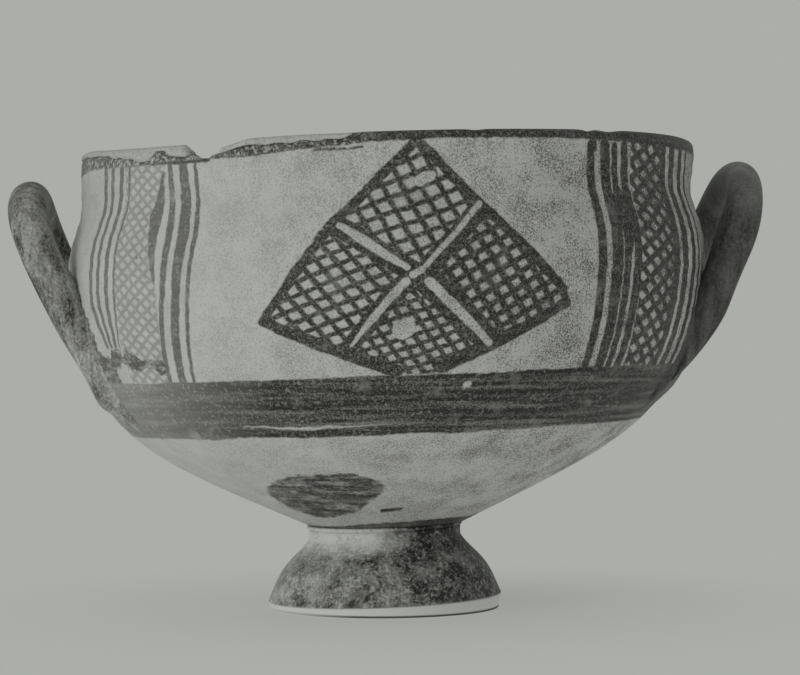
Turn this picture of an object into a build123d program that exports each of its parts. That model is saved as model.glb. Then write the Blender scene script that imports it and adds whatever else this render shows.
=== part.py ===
from build123d import *
from collections import namedtuple
from math import cos, pi, radians, sin, sqrt, tan
import os

# A footed two-handled drinking cup of fired clay, in millimetres.
# +Z is up, the table is z = 0 and the foot stands on the Z axis. The handles lie along the X axis,
# and the front of the painted wall faces -Y. The cup is drawn upright first and leaned at the end.

# Bowl: outside radius of the belly and of the join with the foot, and how far the wall's other points are set
# in: each one below the belly from the point above it, and each one above the belly from the point below it
BELLY_RADIUS = 83.1
SHOULDER_SET_IN = 4.9
KNEE_SET_IN = 12.1
LOW_WALL_SET_IN = 20.5
JOIN_RADIUS = 20.5
TURN_IN_SET_IN = 0.6
LIP_SET_IN = 2.7

# Bowl: height of the join, the rise from each point of the wall to the next, and the height of the lip
JOIN_HEIGHT = 22.0
LOW_WALL_RISE = 12.0
KNEE_RISE = 13.0
SHOULDER_RISE = 16.0
BELLY_RISE = 20.0
TURN_IN_RISE = 14.0
LIP_FOOT_RISE = 10.5
LIP_HEIGHT = 11.1

# Bowl: thickness of the clay
WALL_THICKNESS = 4.6
LIP_THICKNESS = 3.8
FLOOR_THICKNESS = 4.5

# Foot: a hollow cone, from its neck under the bowl down to the ring that it stands on
FOOT_NECK_RADIUS = 19.9
FOOT_NECK_HEIGHT = 18.5
FOOT_FLARE_RADIUS = 25.7
FOOT_FLARE_HEIGHT = 12.0
FOOT_WALL_RADIUS = 28.3
FOOT_WALL_HEIGHT = 8.0
FOOT_EDGE_RADIUS = 30.6
FOOT_EDGE_HEIGHT = 2.8
FOOT_BASE_RADIUS = 29.9
FOOT_HOLLOW_BASE_RADIUS = 23.5
FOOT_HOLLOW_TOP_RADIUS = 12.5
FOOT_OFFSET = -0.7

# Slip that sticks the pieces together
FOOT_LUTING_THICKNESS = 1.0
HANDLE_LUTING_THICKNESS = 0.8
HANDLE_LUTING_MARGIN = 1.6

# Handles: coils bent into loops that lean outward and up from the wall
COIL_RADIUS = 4.9
ROOT_HEIGHT = 59.5
ROOT_HALF_SPACING = 25.0
LOOP_HALF_WIDTH = 24.0
ROOT_BEND_RADIUS = 8.0
ROOT_TAIL = 10.0

# How far the middle of each handle's tip stands out past the belly
TIP_STANDOFF = 10.1

# Each handle: how deep its middle sinks into the wall at the root, its length along the coil's arm,
# the height of its rounded end, and its lean from upright, in degrees, at the root and at the tip
LEFT_SINK = 1.9
LEFT_LENGTH = 55.6
LEFT_BIGHT = 13.0
LEFT_ROOT_LEAN = 28.3
LEFT_TIP_LEAN = 9.5
LEFT_BEND_POWER = 4.0
RIGHT_SINK = -0.4
RIGHT_LENGTH = 53.3
RIGHT_BIGHT = 15.0
RIGHT_ROOT_LEAN = 31.0
RIGHT_TIP_LEAN = 15.0
RIGHT_BEND_POWER = 1.0

# Plaster on the broken lip: azimuths in degrees from the front, positive towards +X
FILL_DEPTH = 2.4
FILL_LEFT_START = -104.0
FILL_NOTCH = -35.5
FILL_FRONT_END = -9.0
NOTCH_DEPTH = 4.0
NOTCH_HALF_WIDTH = 2.1
NOTCH_LEFT_RUN = 5.0
NOTCH_RIGHT_RUN = 9.0

# The fired cup leans: everything but the level base rises by this many degrees towards +X
LEAN = 1.99

# Counts that only set how finely a coil is drawn
PROFILE_STEPS = 60
ARM_POINTS = 5
BIGHT_POINTS = 5
COIL_SECTIONS = 31

SHOULDER_RADIUS = BELLY_RADIUS - SHOULDER_SET_IN
KNEE_RADIUS = SHOULDER_RADIUS - KNEE_SET_IN
LOW_WALL_RADIUS = KNEE_RADIUS - LOW_WALL_SET_IN
TURN_IN_RADIUS = BELLY_RADIUS - TURN_IN_SET_IN
LIP_RADIUS = TURN_IN_RADIUS - LIP_SET_IN
LOW_WALL_HEIGHT = JOIN_HEIGHT + LOW_WALL_RISE
KNEE_HEIGHT = LOW_WALL_HEIGHT + KNEE_RISE
SHOULDER_HEIGHT = KNEE_HEIGHT + SHOULDER_RISE
BELLY_HEIGHT = SHOULDER_HEIGHT + BELLY_RISE
TURN_IN_HEIGHT = BELLY_HEIGHT + TURN_IN_RISE
LIP_FOOT_HEIGHT = TURN_IN_HEIGHT + LIP_FOOT_RISE
RIM_HEIGHT = LIP_FOOT_HEIGHT + LIP_HEIGHT
FOOT_TOP = JOIN_HEIGHT - FOOT_LUTING_THICKNESS
BASE_DROP = FOOT_EDGE_RADIUS * tan(radians(LEAN)) + FOOT_LUTING_THICKNESS
BREAK_HEIGHT = RIM_HEIGHT - FILL_DEPTH
UP = (0, 1)
OUTWARD = (1, 0)

WALL_POINTS = [
    (JOIN_RADIUS, JOIN_HEIGHT),
    (LOW_WALL_RADIUS, LOW_WALL_HEIGHT),
    (KNEE_RADIUS, KNEE_HEIGHT),
    (SHOULDER_RADIUS, SHOULDER_HEIGHT),
    (BELLY_RADIUS, BELLY_HEIGHT),
    (TURN_IN_RADIUS, TURN_IN_HEIGHT),
    (LIP_RADIUS, LIP_FOOT_HEIGHT),
]

Handle = namedtuple("Handle", "side sink length bight root_lean tip_lean bend_power")
HANDLES = {
    "left": Handle(
        -1, LEFT_SINK, LEFT_LENGTH, LEFT_BIGHT, LEFT_ROOT_LEAN, LEFT_TIP_LEAN, LEFT_BEND_POWER
    ),
    "right": Handle(
        1, RIGHT_SINK, RIGHT_LENGTH, RIGHT_BIGHT, RIGHT_ROOT_LEAN, RIGHT_TIP_LEAN, RIGHT_BEND_POWER
    ),
}


def inset(points, distance):
    """The points of a turned outline, moved towards the inside of the bowl, square to the outline."""
    moved = []
    last = len(points) - 1
    for index, (radius, height) in enumerate(points):
        before = points[max(index - 1, 0)]
        after = points[min(index + 1, last)]
        run = after[0] - before[0]
        rise = after[1] - before[1]
        length = sqrt(run * run + rise * rise)
        moved.append((radius - distance * rise / length, height + distance * run / length))
    return moved


def turned(edges, arc=360.0):
    """A solid turned on the Z axis from the edges of its outline, given as radius and height."""
    outline = Curve() + [Plane.XZ * edge for edge in edges]
    return revolve(make_face(outline), Axis.Z, arc)


def outer_wall(luting):
    """The outside of the wall from the join to the lip, grown by a layer of slip."""
    points = inset(WALL_POINTS, -luting)
    points[0] = (JOIN_RADIUS + luting, JOIN_HEIGHT)
    points[-1] = (LIP_RADIUS + luting, LIP_FOOT_HEIGHT)
    start = (LOW_WALL_RADIUS - JOIN_RADIUS, LOW_WALL_HEIGHT - JOIN_HEIGHT)
    return Spline(*points, tangents=[start, UP])


def wall_radius(height):
    """The outside radius of the wall at a height, found by halving along its curve."""
    wall = outer_wall(0)
    low = 0.0
    high = 1.0
    for _ in range(PROFILE_STEPS):
        middle = (low + high) / 2
        if wall.position_at(middle).Y < height:
            low = middle
        else:
            high = middle
    return wall.position_at(low).X


def filled_bowl(luting):
    """The bowl with no hollow, grown by a layer of slip: what a handle's root is shaped against."""
    wall = outer_wall(luting)
    foot_of_lip = wall @ 1
    underside = Line((0, JOIN_HEIGHT), wall @ 0)
    lip = Line(foot_of_lip, (foot_of_lip.X, RIM_HEIGHT))
    top = Line(lip @ 1, (0, RIM_HEIGHT))
    axis = Line(top @ 1, underside @ 0)
    return turned([underside, wall, lip, top, axis])


def whole_bowl():
    """The bowl as it was thrown, before its lip was broken."""
    lip_round = LIP_THICKNESS / 2
    lip_inner = LIP_RADIUS - LIP_THICKNESS
    wall = outer_wall(0)
    outer_lip = Line(wall @ 1, (LIP_RADIUS, RIM_HEIGHT - lip_round))
    crest_middle = (LIP_RADIUS - lip_round, RIM_HEIGHT)
    crest = ThreePointArc(outer_lip @ 1, crest_middle, (lip_inner, RIM_HEIGHT - lip_round))
    inner_lip = Line(crest @ 1, (lip_inner, LIP_FOOT_HEIGHT))
    inner_points = inset(WALL_POINTS, WALL_THICKNESS)[1:-1]
    floor = (0, JOIN_HEIGHT + FLOOR_THICKNESS)
    inside = Spline(floor, *inner_points, inner_lip @ 1, tangents=[OUTWARD, UP])
    axis = Line(floor, (0, JOIN_HEIGHT))
    underside = Line(axis @ 1, wall @ 0)
    return turned([wall, outer_lip, crest, inner_lip, inside, axis, underside])


def foot():
    """The hollow conical foot, drawn a little too deep so that its base can be cut level."""
    neck = Line((FOOT_NECK_RADIUS, FOOT_TOP), (FOOT_NECK_RADIUS, FOOT_NECK_HEIGHT))
    flare = Spline(
        neck @ 1,
        (FOOT_FLARE_RADIUS, FOOT_FLARE_HEIGHT),
        (FOOT_WALL_RADIUS, FOOT_WALL_HEIGHT),
        (FOOT_EDGE_RADIUS, FOOT_EDGE_HEIGHT),
    )
    edge = Line(flare @ 1, (FOOT_BASE_RADIUS, 0))
    base_side = Line(edge @ 1, (FOOT_BASE_RADIUS, -BASE_DROP))
    base = Line(base_side @ 1, (FOOT_HOLLOW_BASE_RADIUS, -BASE_DROP))
    hollow = Line(base @ 1, (FOOT_HOLLOW_TOP_RADIUS, FOOT_TOP))
    top = Line(hollow @ 1, neck @ 0)
    return turned([neck, flare, edge, base_side, base, hollow, top])


def foot_luting():
    """The ring of slip between the foot's top and the flat under the bowl."""
    lower = Line((FOOT_HOLLOW_TOP_RADIUS, FOOT_TOP), (FOOT_NECK_RADIUS, FOOT_TOP))
    outside = Line(lower @ 1, (JOIN_RADIUS, JOIN_HEIGHT))
    upper = Line(outside @ 1, (FOOT_HOLLOW_TOP_RADIUS, JOIN_HEIGHT))
    inside = Line(upper @ 1, lower @ 0)
    return turned([lower, outside, upper, inside])


def lip_sector(start, end):
    """Everything above the break, outside the bowl's hollow and inside, between two azimuths."""
    width = LIP_RADIUS + LIP_THICKNESS
    above = RIM_HEIGHT + FILL_DEPTH
    lower = Line((0, BREAK_HEIGHT), (width, BREAK_HEIGHT))
    outside = Line(lower @ 1, (width, above))
    upper = Line(outside @ 1, (0, above))
    axis = Line(upper @ 1, lower @ 0)
    return Rot(0, 0, start - 90) * turned([lower, outside, upper, axis], end - start)


def notch():
    """The wide V still missing between the two stretches of plaster, cut straight out from the axis."""
    azimuth = radians(FILL_NOTCH)
    outward = (sin(azimuth), -cos(azimuth), 0)
    sideways = (cos(azimuth), sin(azimuth), 0)
    face = Plane((0, 0, 0), x_dir=sideways, z_dir=outward)
    left = NOTCH_HALF_WIDTH + NOTCH_LEFT_RUN
    right = NOTCH_HALF_WIDTH + NOTCH_RIGHT_RUN
    bottom = RIM_HEIGHT - NOTCH_DEPTH
    above = RIM_HEIGHT + NOTCH_DEPTH
    corners = [
        (-NOTCH_HALF_WIDTH, bottom),
        (NOTCH_HALF_WIDTH, bottom),
        (right, RIM_HEIGHT),
        (right, above),
        (-left, above),
        (-left, RIM_HEIGHT),
    ]
    outline = Polyline(*corners, close=True)
    return extrude(face * make_face(outline), LIP_RADIUS + LIP_THICKNESS)


def lean_at(handle, along):
    """The coil's lean from upright: it eases to the tip's lean, and curls into the wall below the root."""
    root = radians(handle.root_lean)
    tip = radians(handle.tip_lean)
    if along < 0:
        return root - along / ROOT_BEND_RADIUS
    return root + (tip - root) * (along / handle.length) ** handle.bend_power


def arm_run(handle, along):
    """How far out and how far up the coil's lean carries it, at a distance along its arm from the root."""
    out = 0.0
    up = 0.0
    step = along / PROFILE_STEPS
    for index in range(PROFILE_STEPS):
        lean = lean_at(handle, (index + 0.5) * step)
        out += step * sin(lean)
        up += step * cos(lean)
    return out, up


def arm_point(handle, along):
    """Reach from the axis and height of the coil's middle, so that its tip stands clear of the belly."""
    root_reach = sqrt(wall_radius(ROOT_HEIGHT) ** 2 - ROOT_HALF_SPACING ** 2) - handle.sink
    tip_reach = BELLY_RADIUS + TIP_STANDOFF
    whole_run, _ = arm_run(handle, handle.length)
    out, up = arm_run(handle, along)
    return root_reach + out * (tip_reach - root_reach) / whole_run, ROOT_HEIGHT + up


def loop_points(handle):
    """The middle of the coil: up the front arm, round the end of the loop and down the rear arm."""
    arm = handle.length - handle.bight
    front = [(ROOT_HALF_SPACING, -ROOT_TAIL), (ROOT_HALF_SPACING, -ROOT_TAIL / 2)]
    for index in range(ARM_POINTS):
        share = index / (ARM_POINTS - 1)
        spacing = ROOT_HALF_SPACING + (LOOP_HALF_WIDTH - ROOT_HALF_SPACING) * share
        front.append((spacing, arm * share))
    end = []
    for index in range(1, BIGHT_POINTS + 1):
        turn = pi * index / (BIGHT_POINTS + 1)
        end.append((-LOOP_HALF_WIDTH * cos(turn), arm + handle.bight * sin(turn)))
    rear = list(reversed(front))
    stations = [(-spacing, along) for spacing, along in front] + end + rear
    points = []
    for sideways, along in stations:
        reach, height = arm_point(handle, along)
        points.append((handle.side * reach, sideways, height))
    return points


def coil(handle, radius):
    """A round coil along the handle's loop."""
    path = Spline(*loop_points(handle))
    face_lean = radians((handle.root_lean + handle.tip_lean) / 2)
    facing = (handle.side * cos(face_lean), 0, -sin(face_lean))
    sections = []
    for index in range(COIL_SECTIONS):
        share = index / (COIL_SECTIONS - 1)
        plane = Plane(path @ share, x_dir=facing, z_dir=path % share)
        sections.append(plane * Circle(radius))
    return loft(sections)


def settled(shape):
    """A piece as it left the kiln: leaned towards +X and cut level with the table."""
    lean = Matrix([[1, 0, 0, 0], [0, 1, 0, 0], [tan(radians(LEAN)), 0, 1, 0]])
    leaned = shape.transform_geometry(lean)
    if leaned.bounding_box().min.Z >= 0:
        return leaned
    depth = 2 * BASE_DROP
    under_table = Pos(0, 0, -depth) * Cylinder(
        2 * FOOT_EDGE_RADIUS, depth, align=(Align.CENTER, Align.CENTER, Align.MIN)
    )
    return leaned - under_table


def pieces():
    """Every piece of the cup, by name, drawn upright."""
    bowl = whole_bowl()
    left_lip = lip_sector(FILL_LEFT_START, FILL_NOTCH)
    front_lip = lip_sector(FILL_NOTCH, FILL_FRONT_END)
    made = {
        "bowl": bowl - left_lip - front_lip - notch(),
        "foot": Pos(FOOT_OFFSET, 0, 0) * foot(),
        "foot_luting": Pos(FOOT_OFFSET, 0, 0) * foot_luting(),
        "rim_fill_left": (bowl & left_lip) - notch(),
        "rim_fill_front": (bowl & front_lip) - notch(),
    }
    bare = filled_bowl(0)
    slipped = filled_bowl(HANDLE_LUTING_THICKNESS)
    slip = slipped - bare
    for name, handle in HANDLES.items():
        made[f"handle_{name}"] = coil(handle, COIL_RADIUS) - slipped
        pads = (coil(handle, COIL_RADIUS + HANDLE_LUTING_MARGIN) & slip).solids().sort_by(Axis.Y)
        made[f"handle_{name}_front_luting"] = pads[0]
        made[f"handle_{name}_rear_luting"] = pads[-1]
    return made


os.makedirs("parts", exist_ok=True)
for node, shape in pieces().items():
    solids = settled(shape).solids()
    print(node, len(solids), "solid(s)", round(sum(solid.volume for solid in solids), 1), "mm3")
    export_step(Compound(children=solids) if len(solids) > 1 else solids[0], f"parts/{node}.step")
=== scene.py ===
# %% [markdown]
# A skyphos is a drinking cup with a small foot and two handles. This one was thrown on a wheel, painted
# with a thin dark slip and fired, and much later its broken lip was made up with plaster. The imported model
# comes first. It is the frame: every mesh below is built over one of its pieces and takes that piece's
# place, so that nothing has to be fitted by eye.

import math

import bmesh
import bpy
import numpy as np
from mathutils import Matrix, Vector


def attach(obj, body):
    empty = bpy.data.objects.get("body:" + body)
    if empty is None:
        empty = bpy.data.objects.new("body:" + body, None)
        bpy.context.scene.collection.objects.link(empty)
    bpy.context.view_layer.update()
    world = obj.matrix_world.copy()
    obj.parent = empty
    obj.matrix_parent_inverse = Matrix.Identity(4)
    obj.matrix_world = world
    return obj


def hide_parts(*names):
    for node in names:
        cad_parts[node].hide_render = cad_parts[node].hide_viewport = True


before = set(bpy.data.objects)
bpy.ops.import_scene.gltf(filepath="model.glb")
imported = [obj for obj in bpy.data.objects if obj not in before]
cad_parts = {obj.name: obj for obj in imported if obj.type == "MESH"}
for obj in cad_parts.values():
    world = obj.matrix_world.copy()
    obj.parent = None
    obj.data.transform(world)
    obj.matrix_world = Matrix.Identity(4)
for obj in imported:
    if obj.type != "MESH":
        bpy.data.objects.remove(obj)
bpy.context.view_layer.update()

# %% [markdown]
# The cup leans: everything but its level base rises a little towards +X, as if the clay had sagged before
# the foot was trimmed. Each piece is easiest to draw upright, in millimetres, as a potter measures. One
# function then leans the finished points and turns them into metres. The objects could be turned instead,
# but then the flat base would lean too. Azimuths run from the front, which faces -Y, towards +X.

# %% Lean and scale
MILLIMETRE = 0.001
LEAN_DEGREES = 1.99
LEAN_RISE = math.tan(math.radians(LEAN_DEGREES))


def settled(points):
    """Upright points in millimetres, leaned as the fired cup leans, in metres."""
    leaned = np.array(points, float).reshape(-1, 3)
    leaned[:, 2] += LEAN_RISE * leaned[:, 0]
    return leaned * MILLIMETRE


def around(radius, azimuth, height):
    """Points at a radius, an azimuth in radians and a height."""
    radius, azimuth, height = np.broadcast_arrays(radius, azimuth, height)
    return np.stack([radius * np.sin(azimuth), -radius * np.cos(azimuth), height], axis=-1)


print("the cup rises by", round(LEAN_RISE * 100, 2), "mm in every 100 mm towards its right")

# %% [markdown]
# Thrown and rolled clay can be modelled with modifiers, but a grid of points gives full control of where
# the wall is thick, dented or broken. A grid has rows along the outline and columns around it. The helpers
# here join the points of a grid with faces and make a mesh object whose faces all look outward.

# %% Grids of points become pieces
def grid_faces(rows, columns, closed_rows=False, closed_columns=False):
    """Four-sided faces between neighbouring points of a grid, which can close on itself either way."""
    index = np.arange(rows * columns).reshape(rows, columns)
    if closed_rows:
        index = np.vstack([index, index[:1]])
    if closed_columns:
        index = np.hstack([index, index[:, :1]])
    corners = [index[:-1, :-1], index[:-1, 1:], index[1:, 1:], index[1:, :-1]]
    return np.stack(corners, axis=-1).reshape(-1, 4).tolist()


def end_caps(rows, columns):
    """The two many-sided faces that close the first and the last row of a grid."""
    first = list(range(columns))
    return [first, [corner + (rows - 1) * columns for corner in first]]


def make_piece(node, points, faces, slot_name):
    """A smooth mesh object that rides on the cup's one body and stands for a node of the frame."""
    mesh = bpy.data.meshes.new(node)
    mesh.from_pydata(settled(points).tolist(), [], faces)
    shell = bmesh.new()
    shell.from_mesh(mesh)
    bmesh.ops.recalc_face_normals(shell, faces=shell.faces)
    shell.to_mesh(mesh)
    shell.free()
    mesh.shade_smooth()
    piece = bpy.data.objects.new(f"{node}_dressed", mesh)
    bpy.context.collection.objects.link(piece)
    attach(piece, "root")
    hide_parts(node)
    print(node, "has", len(mesh.vertices), "points and", len(mesh.polygons), "faces")
    return piece


print("a grid of 3 by 4 points has", len(grid_faces(3, 4)), "faces")

# %% [markdown]
# No handmade surface is exact. A sum of a few slow waves with random starts gives a gentle waver that is
# the same on every run, for the swell of the wall, the unevenness of the coils and the ragged break of the
# lip.

# %% Waver
def waver(seed, *ways):
    """A smooth unevenness from about -1 to 1. Each way is a coordinate with its highest number of waves."""
    chance = np.random.default_rng(seed)
    total = 0.0
    waves = 6
    for _ in range(waves):
        phase = chance.uniform(0, 2 * math.pi)
        for coordinate, most in ways:
            phase = phase + coordinate * chance.integers(-most, most + 1)
        total = total + np.sin(phase)
    return total / math.sqrt(waves)


print("waver at one point:", round(float(waver(1, (0.0, 5))), 3))

# %% [markdown]
# A potter's rib leaves a smooth outline. A Bezier curve object could draw it, but its control points would
# have to be placed by hand. A cubic through measured points, with a given direction at each end, follows
# the frame's own curve: the directions at the points between are found by solving for an even bend.

# %% A smooth curve through points
UP = (0.0, 1.0)
OUTWARD = (1.0, 0.0)


def smooth_curve(points, start_way, end_way, count):
    """Evenly spaced points on a smooth curve through the given ones, with a direction at each end."""
    points = np.array(points, float)
    steps = np.linalg.norm(np.diff(points, axis=0), axis=1)
    knots = np.concatenate([[0.0], np.cumsum(steps)])
    slopes = np.diff(points, axis=0) / steps[:, None]
    size = len(points)
    system = np.eye(size)
    sides = np.zeros((size, 2))
    sides[0] = np.array(start_way) / np.linalg.norm(start_way)
    sides[-1] = np.array(end_way) / np.linalg.norm(end_way)
    for row in range(1, size - 1):
        before, after = steps[row - 1], steps[row]
        system[row, row - 1:row + 2] = after, 2 * (before + after), before
        sides[row] = 3 * (after * slopes[row - 1] + before * slopes[row])
    ways = np.linalg.solve(system, sides)
    along = np.linspace(0, knots[-1], count)
    span = np.clip(np.searchsorted(knots, along, side="right") - 1, 0, size - 2)
    step = steps[span][:, None]
    share = (along - knots[span])[:, None] / step
    start_part = (1 + 2 * share) * (1 - share) ** 2 * points[span]
    end_part = share ** 2 * (3 - 2 * share) * points[span + 1]
    bend = share * (1 - share) * step * ((1 - share) * ways[span] - share * ways[span + 1])
    return start_part + end_part + bend


def inset(points, distance):
    """Points of an outline, moved towards the inside of the bowl."""
    before = np.vstack([points[:1], points[:-1]])
    after = np.vstack([points[1:], points[-1:]])
    run = after - before
    run /= np.linalg.norm(run, axis=1)[:, None]
    return points + distance * np.stack([-run[:, 1], run[:, 0]], axis=1)


print("a rounded corner passes", smooth_curve([(0, 0), (1, 1)], UP, OUTWARD, 3)[1].round(2))

# %% [markdown]
# The outside of the wall runs through seven points, from the join with the foot to the foot of the lip. The
# handles and their lutings ask for the wall's radius at a height, so a function gives it.

# %% The wall's curve
JOIN_RADIUS = 20.5
JOIN_HEIGHT = 22.0
BELLY_RADIUS = 83.1
LIP_RADIUS = 79.8
LIP_FOOT = 107.5
# Each point is a radius and a height
WALL_POINTS = np.array([
    (JOIN_RADIUS, JOIN_HEIGHT),
    (45.6, 34.0),
    (66.1, 47.0),
    (78.2, 63.0),
    (BELLY_RADIUS, 83.0),
    (82.5, 97.0),
    (LIP_RADIUS, LIP_FOOT),
])
WALL_ROWS = 112

outer_curve = smooth_curve(WALL_POINTS, WALL_POINTS[1] - WALL_POINTS[0], UP, WALL_ROWS)


def wall_radius(height):
    """The outside radius of the wall at a height, straight up above the foot of the lip."""
    return np.interp(height, outer_curve[:, 1], outer_curve[:, 0])


print("the wall is widest at a radius of", round(outer_curve[:, 0].max(), 2), "mm")

# %% [markdown]
# The lip stands straight above the wall and is rounded over. Plaster makes up its broken stretches on the
# left and the front, and a notch between them was never filled. The break could be cut with a Boolean, but
# heights by azimuth are easier to match: where the old clay ends, where the plaster ends, the wide V of the
# notch, and how far the whole lip stands up on the left.

# %% The lip, its break and its notch
LIP_THICKNESS = 3.8
RIM = 118.6
RIM_UNEVEN = 0.15
LIP_FOLD = 111.0
FILL_LEFT = (-104.0, -39.5)
FILL_FRONT = (-32.5, -9.0)
NOTCH_AZIMUTHS = (-41.2, -37.6, -35.0, -33.0, -27.0)
NOTCH_HEIGHTS = (RIM, 114.8, 114.6, 116.8, RIM)
# Azimuths in degrees, with the height at which the old clay ends
BREAK = (
    (-105, 118.6), (-103, 118.3), (-99, 117.4), (-62, 116.9), (-54.5, 116.0), (-52.8, 115.2), (-48.6, 115.2),
    (-47.6, 117.6), (-44.8, 117.7), (-43.6, 115.9), (-40, 115.6), (-33, 115.8), (-28, 117.0), (-12, 117.3),
    (-9, 118.2), (-8, 118.6),
)
BREAK_RAGGED = 0.22
SOUND_MARGIN = 0.3
RISE_AZIMUTHS = (-150.0, -110.0, -92.0, -75.0, -52.0, -42.0)
RISE_HEIGHTS = (0.0, 2.2, 3.0, 2.4, 0.5, 0.0)
# Each nick is an azimuth and a half width in degrees, and a depth
NICKS = ((34.7, 1.1, 0.5), (39.8, 2.4, 0.45), (12.5, 1.2, 0.25), (118.0, 1.6, 0.5), (204.0, 2.2, 0.4))


def lip_rise(degrees):
    """How far the lip stands above its usual height."""
    return np.interp(degrees, RISE_AZIMUTHS, RISE_HEIGHTS)


def sound_rim(degrees):
    """The height of the rim where nothing is missing, a little uneven and nicked."""
    height = RIM - RIM_UNEVEN + RIM_UNEVEN * waver(11, (np.radians(degrees), 5))
    for place, half_width, depth in NICKS:
        height = height - depth * np.exp(-((degrees - place) / half_width) ** 2)
    height = np.minimum(height, np.interp(degrees, NOTCH_AZIMUTHS, NOTCH_HEIGHTS))
    return height + lip_rise(degrees)


def broken_edge(degrees):
    """The height at which the old clay ends, ragged where it is broken."""
    ragged = BREAK_RAGGED * waver(12, (np.radians(degrees), 90))
    missing = np.interp(degrees, *zip(*BREAK))
    missing = missing + ragged * (missing < RIM - SOUND_MARGIN) + lip_rise(degrees)
    return np.minimum(sound_rim(degrees), missing)


fill_ends = np.array([*FILL_LEFT, *FILL_FRONT])
print("at the ends of the plaster the old clay reaches", np.round(broken_edge(fill_ends), 1))

# %% [markdown]
# The outline of the bowl goes up the outside, over the rounded lip and down the inside, which is the wall's
# curve moved in by the thickness of the clay. It starts and ends close to the axis, where two caps close
# it.

# %% The bowl's outline
WALL_THICKNESS = 4.6
FLOOR_HEIGHT = 26.5
UNDERSIDE_RADII = (0.6, 10.0, 19.0)
LIP_ROWS = 11
CREST_ROWS = 11
INSIDE_ROWS = 62


def bowl_outline():
    """The bowl's outline from the middle of its underside, over the lip, to the middle of its floor."""
    lip_round = LIP_THICKNESS / 2
    lip_inner = LIP_RADIUS - LIP_THICKNESS
    underside = [(radius, JOIN_HEIGHT) for radius in UNDERSIDE_RADII]
    lip_heights = np.linspace(LIP_FOOT, RIM - lip_round, LIP_ROWS)[1:]
    lip_outside = [(LIP_RADIUS, height) for height in lip_heights]
    turns = np.linspace(0, math.pi, CREST_ROWS)[1:]
    middle = LIP_RADIUS - lip_round
    crest = [
        (middle + lip_round * math.cos(turn), RIM - lip_round + lip_round * math.sin(turn))
        for turn in turns
    ]
    # Every third height is enough inside the lip
    lip_inside = [(lip_inner, height) for height in lip_heights[-3::-3]]
    inner_points = [(UNDERSIDE_RADII[0], FLOOR_HEIGHT), *inset(WALL_POINTS, WALL_THICKNESS)[1:-1]]
    inner_points.append((lip_inner, LIP_FOOT))
    inside = smooth_curve(inner_points, OUTWARD, UP, INSIDE_ROWS)[::-1]
    outside_rows = len(underside) + len(outer_curve) + len(lip_outside) + len(crest) // 2
    return np.vstack([underside, outer_curve, lip_outside, crest, lip_inside, inside]), outside_rows


bowl_rows, bowl_outside_rows = bowl_outline()
print("the bowl's outline has", len(bowl_rows), "points,", bowl_outside_rows, "of them outside")

# %% [markdown]
# The bowl is the outline swept round the axis. A Screw modifier would sweep it evenly, but a thrown wall is
# not even: wheel marks are shallow rings that wander a little, deeper inside than outside, the whole wall
# swells and dips by a few tenths of a millimetre, and the lip opens out slightly on the right.

# %% The bowl
BOWL_COLUMNS = 420
WHEEL_MARK_SPACING = 4.2
WHEEL_MARK_DEPTH = 0.07
INSIDE_MARK_DEPTH = 0.2
WHEEL_MARK_WANDER = 0.8
SWELL = 0.22
SWELL_LENGTH = 40.0
# The flat middle of the bowl has no marks: they begin and are full at these radii
MARKS_BEGIN = 25.0
MARKS_FULL = 45.0
LIP_FLARE = 1.0
LIP_FLARE_START = 106.0
LIP_FLARE_RISE = 8.0

turn = np.linspace(-math.pi, math.pi, BOWL_COLUMNS, endpoint=False)
radius = np.repeat(bowl_rows[:, :1], BOWL_COLUMNS, axis=1)
height = np.repeat(bowl_rows[:, 1:], BOWL_COLUMNS, axis=1)
wander = WHEEL_MARK_WANDER * waver(21, (turn, 2))
marks = np.sin(2 * math.pi * height / WHEEL_MARK_SPACING + wander)
swell = waver(22, (turn, 3), (height / SWELL_LENGTH, 2))
wall_share = np.clip((radius - MARKS_BEGIN) / (MARKS_FULL - MARKS_BEGIN), 0, 1)
is_outside = np.arange(len(bowl_rows)) < bowl_outside_rows
mark_depth = np.where(is_outside, WHEEL_MARK_DEPTH, INSIDE_MARK_DEPTH)[:, None]
radius = radius + wall_share * (mark_depth * marks + SWELL * swell)
flare_height = np.clip((height - LIP_FLARE_START) / LIP_FLARE_RISE, 0, 1)
flare_side = np.clip(np.sin(turn), 0, 1) ** 2
radius = radius + LIP_FLARE * flare_height * flare_side
lip_share = np.clip((height - LIP_FOLD) / (RIM - LIP_FOLD), 0, 1)
height = height + lip_share * (broken_edge(np.degrees(turn)) - RIM)
bowl_faces = grid_faces(len(bowl_rows), BOWL_COLUMNS, closed_columns=True)
bowl_faces += end_caps(len(bowl_rows), BOWL_COLUMNS)
bowl = make_piece("bowl", around(radius, turn, height), bowl_faces, "painted_clay")

# %% [markdown]
# The plaster fills sit on the break and finish the lip. Each is a short run of the lip's own cross-section,
# stretched between the broken edge and the mender's rim, so that it fits the break without a Boolean. The
# mender left the plaster a hair thinner than the clay, and a faint step shows where the two meet.

# %% The plaster fills
FILL_RECESS = 0.12
FILL_BED = 0.35
FILL_SPACING = 0.7
FILL_LOW = 0.06
FILL_UNEVEN = 0.05
FILL_LEAST = 0.05
CREST_START = 0.35


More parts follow.
